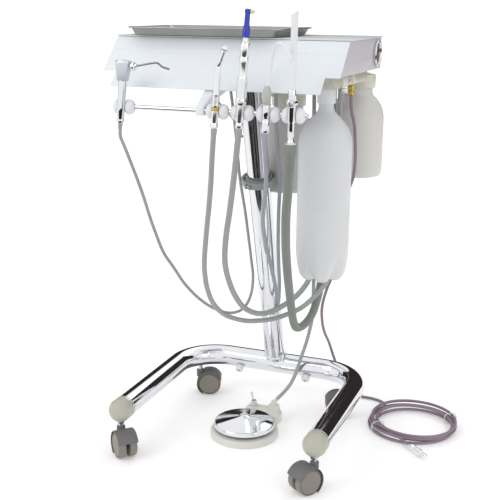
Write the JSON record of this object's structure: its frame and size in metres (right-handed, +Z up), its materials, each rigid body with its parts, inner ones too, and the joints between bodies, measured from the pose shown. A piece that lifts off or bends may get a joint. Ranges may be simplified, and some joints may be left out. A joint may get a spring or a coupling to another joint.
{
  "type": "mobile dental delivery cart",
  "caption": "Rolling dental cart: sloped cabinet with tray, bar of hand instruments on hoses, hung water bottles, leaning column, U-shaped caster base and foot control.",
  "frame": {"origin": "on the floor under the centre of the cart's bounding box, measured without the hoses", "axes": "+Z up, -Y towards the front where the instruments hang, +X to the side with the gauge and the water bottle"},
  "size_m": [0.7122, 0.5581, 0.9609],
  "materials": {
    "chrome": "polished chrome plate",
    "steel": "satin stainless",
    "tray_steel": "bright stainless",
    "white_paint": "satin white powder coat",
    "side_paint": "satin pale gray powder coat",
    "white_plastic": "moulded white",
    "cream_plastic": "moulded cream",
    "ball_plastic": "moulded warm gray",
    "collar_plastic": "moulded gray",
    "hood_plastic": "moulded dark gray",
    "wheel_plastic": "moulded taupe",
    "bottle_plastic": "frosted translucent",
    "jug_plastic": "frosted translucent, warm",
    "hose_gray": "smooth gray",
    "hose_blue_gray": "smooth blue gray",
    "hose_dark": "smooth green gray",
    "hose_mauve": "translucent mauve gray",
    "black_plastic": "black",
    "blue_plastic": "blue",
    "cup_rubber": "soft cream",
    "brass": "turned"
  },
  "bodies": {
    "cart": {"base_tube": "chrome", "column_tube": "chrome", "holder_bar": "chrome", "air_plug": "chrome", "gauge_bezel": "steel", "front_panel": "white_paint", "bar_arm": "white_paint", "cabinet_cover": "white_paint", "cabinet_shell": "side_paint", "left_bumper": "white_plastic", "right_bumper": "white_plastic", "syringe_holder": "white_plastic", "high_speed_holder": "white_plastic", "low_speed_holder": "white_plastic", "saliva_holder": "white_plastic", "hve_holder": "white_plastic", "bottle_cap": "white_plastic", "service_bracket": "white_plastic", "jug_bracket": "white_plastic", "foot_base": "cream_plastic", "left_end_ball": "ball_plastic", "right_end_ball": "ball_plastic", "hose_collar": "collar_plastic", "syringe_hose": "hose_gray", "high_speed_hose": "hose_gray", "low_speed_hose": "hose_gray", "foot_hose": "hose_gray", "saliva_hose": "hose_blue_gray", "hve_hose": "hose_dark", "air_hose": "hose_mauve", "air_hose_coil": "hose_mauve", "air_inlet_fitting": "brass"},
    "tray": {"tray": "tray_steel"},
    "syringe": {"syringe_body": "steel"},
    "syringe_air_button": {"syringe_air_button": "black_plastic"},
    "syringe_water_button": {"syringe_water_button": "black_plastic"},
    "syringe_nozzle": {"syringe_nozzle": "chrome"},
    "high_speed": {"high_speed_handpiece": "steel"},
    "low_speed": {"low_speed_motor": "steel"},
    "prophy_angle": {"prophy_angle": "blue_plastic"},
    "prophy_cup": {"prophy_cup": "cup_rubber"},
    "saliva_valve": {"saliva_valve": "chrome"},
    "saliva_tip": {"saliva_tip": "white_plastic"},
    "hve_valve": {"hve_valve": "chrome"},
    "hve_valve_knob": {"hve_valve_knob": "steel"},
    "hve_tip": {"hve_tip": "white_plastic"},
    "gauge_needle": {"gauge_needle": "black_plastic"},
    "front_bottle": {"front_bottle": "bottle_plastic"},
    "right_jug": {"right_jug": "jug_plastic"},
    "center_jug": {"center_jug": "jug_plastic"},
    "foot_disc": {"foot_disc": "chrome"},
    "foot_toggle": {"foot_toggle": "steel"},
    "front_left_caster": {"front_left_caster_hood": "hood_plastic"},
    "front_left_wheels": {"front_left_caster_wheels": "wheel_plastic"},
    "front_right_caster": {"front_right_caster_hood": "hood_plastic"},
    "front_right_wheels": {"front_right_caster_wheels": "wheel_plastic"},
    "rear_left_caster": {"rear_left_caster_hood": "hood_plastic"},
    "rear_left_wheels": {"rear_left_caster_wheels": "wheel_plastic"},
    "rear_right_caster": {"rear_right_caster_hood": "hood_plastic"},
    "rear_right_wheels": {"rear_right_caster_wheels": "wheel_plastic"}
  },
  "joints": [
    {"name": "tray_lift", "type": "slide", "parent": "cart", "child": "tray", "axis": [0, 0, 1], "range_m": [0, 0.08]},
    {"name": "syringe_pull", "type": "slide", "parent": "cart", "child": "syringe", "axis": [0, -1, 0], "range_m": [0, 0.05]},
    {"name": "high_speed_pull", "type": "slide", "parent": "cart", "child": "high_speed", "axis": [0, -1, 0], "range_m": [0, 0.05]},
    {"name": "low_speed_pull", "type": "slide", "parent": "cart", "child": "low_speed", "axis": [0, -1, 0], "range_m": [0, 0.05]},
    {"name": "saliva_pull", "type": "slide", "parent": "cart", "child": "saliva_valve", "axis": [0, -1, 0], "range_m": [0, 0.05]},
    {"name": "hve_lift", "type": "slide", "parent": "cart", "child": "hve_valve", "axis": [0.016, 0, 0.9999], "range_m": [0, 0.03]},
    {"name": "syringe_air_press", "type": "slide", "parent": "syringe", "child": "syringe_air_button", "axis": [0.5265, 0, -0.8502], "range_m": [0, 0.002], "stiffness_N_per_m": 400},
    {"name": "syringe_water_press", "type": "slide", "parent": "syringe", "child": "syringe_water_button", "axis": [0.5265, 0, -0.8502], "range_m": [0, 0.002], "stiffness_N_per_m": 400},
    {"name": "syringe_nozzle_turn", "type": "hinge", "parent": "syringe", "child": "syringe_nozzle", "pos_m": [-0.15452, -0.22395, 0.84954], "axis": [0.9838, 0, 0.179], "continuous": true},
    {"name": "prophy_angle_turn", "type": "hinge", "parent": "low_speed", "child": "prophy_angle", "pos_m": [0.08096, -0.22395, 0.9131], "axis": [0.0749, 0, 0.9972], "continuous": true},
    {"name": "prophy_cup_spin", "type": "hinge", "parent": "prophy_angle", "child": "prophy_cup", "pos_m": [0.08419, -0.22395, 0.95598], "axis": [0.9972, 0, -0.0749], "continuous": true},
    {"name": "saliva_tip_turn", "type": "hinge", "parent": "saliva_valve", "child": "saliva_tip", "pos_m": [0.12291, -0.22395, 0.80047], "axis": [0.042, 0, 0.9991], "range_deg": [-90, 0]},
    {"name": "hve_knob_turn", "type": "hinge", "parent": "hve_valve", "child": "hve_valve_knob", "pos_m": [0.17183, -0.22395, 0.7945], "axis": [0, -1, 0], "range_deg": [0, 90]},
    {"name": "hve_tip_turn", "type": "hinge", "parent": "hve_valve", "child": "hve_tip", "pos_m": [0.17241, -0.22395, 0.83049], "axis": [0.016, 0, 0.9999], "continuous": true},
    {"name": "gauge_needle_swing", "type": "hinge", "parent": "cart", "child": "gauge_needle", "pos_m": [0.24515, 0.11505, 0.8706], "axis": [1, 0, 0], "range_deg": [0, 270], "stiffness_Nm_per_rad": 0.002},
    {"name": "front_bottle_unscrew", "type": "hinge", "parent": "cart", "child": "front_bottle", "pos_m": [0.18055, -0.02795, 0.78], "axis": [0, 0, -1], "range_deg": [0, 300]},
    {"name": "right_jug_unscrew", "type": "hinge", "parent": "cart", "child": "right_jug", "pos_m": [0.19295, 0.17205, 0.8], "axis": [0, 0, -1], "range_deg": [0, 300]},
    {"name": "center_jug_unscrew", "type": "hinge", "parent": "cart", "child": "center_jug", "pos_m": [0.03205, 0.17805, 0.752], "axis": [0, 0, -1], "range_deg": [0, 300]},
    {"name": "foot_disc_press", "type": "slide", "parent": "cart", "child": "foot_disc", "axis": [0, 0, -1], "range_m": [0, 0.005], "stiffness_N_per_m": 8000, "springref_m": -0.001},
    {"name": "foot_toggle_flip", "type": "hinge", "parent": "cart", "child": "foot_toggle", "pos_m": [-0.01505, 0.09805, 0.038], "axis": [0, 1, 0], "range_deg": [0, 29]},
    {"name": "front_left_swivel", "type": "hinge", "parent": "cart", "child": "front_left_caster", "pos_m": [-0.22705, -0.17665, 0.066], "axis": [0, 0, 1], "continuous": true},
    {"name": "front_left_roll", "type": "hinge", "parent": "front_left_caster", "child": "front_left_wheels", "pos_m": [-0.20972, -0.19326, 0.029], "axis": [0.6919, 0.722, 0], "continuous": true},
    {"name": "front_right_swivel", "type": "hinge", "parent": "cart", "child": "front_right_caster", "pos_m": [0.22095, -0.17665, 0.066], "axis": [0, 0, 1], "continuous": true},
    {"name": "front_right_roll", "type": "hinge", "parent": "front_right_caster", "child": "front_right_wheels", "pos_m": [0.20725, -0.19636, 0.029], "axis": [0.8211, -0.5708, 0], "continuous": true},
    {"name": "rear_left_swivel", "type": "hinge", "parent": "cart", "child": "rear_left_caster", "pos_m": [-0.19775, 0.19275, 0.066], "axis": [0, 0, 1], "continuous": true},
    {"name": "rear_left_roll", "type": "hinge", "parent": "rear_left_caster", "child": "rear_left_wheels", "pos_m": [-0.17518, 0.20091, 0.029], "axis": [-0.3401, 0.9404, 0], "continuous": true},
    {"name": "rear_right_swivel", "type": "hinge", "parent": "cart", "child": "rear_right_caster", "pos_m": [0.19165, 0.19275, 0.066], "axis": [0, 0, 1], "continuous": true},
    {"name": "rear_right_roll", "type": "hinge", "parent": "rear_right_caster", "child": "rear_right_wheels", "pos_m": [0.16908, 0.18459, 0.029], "axis": [0.3401, -0.9404, 0], "continuous": true}
  ]
}
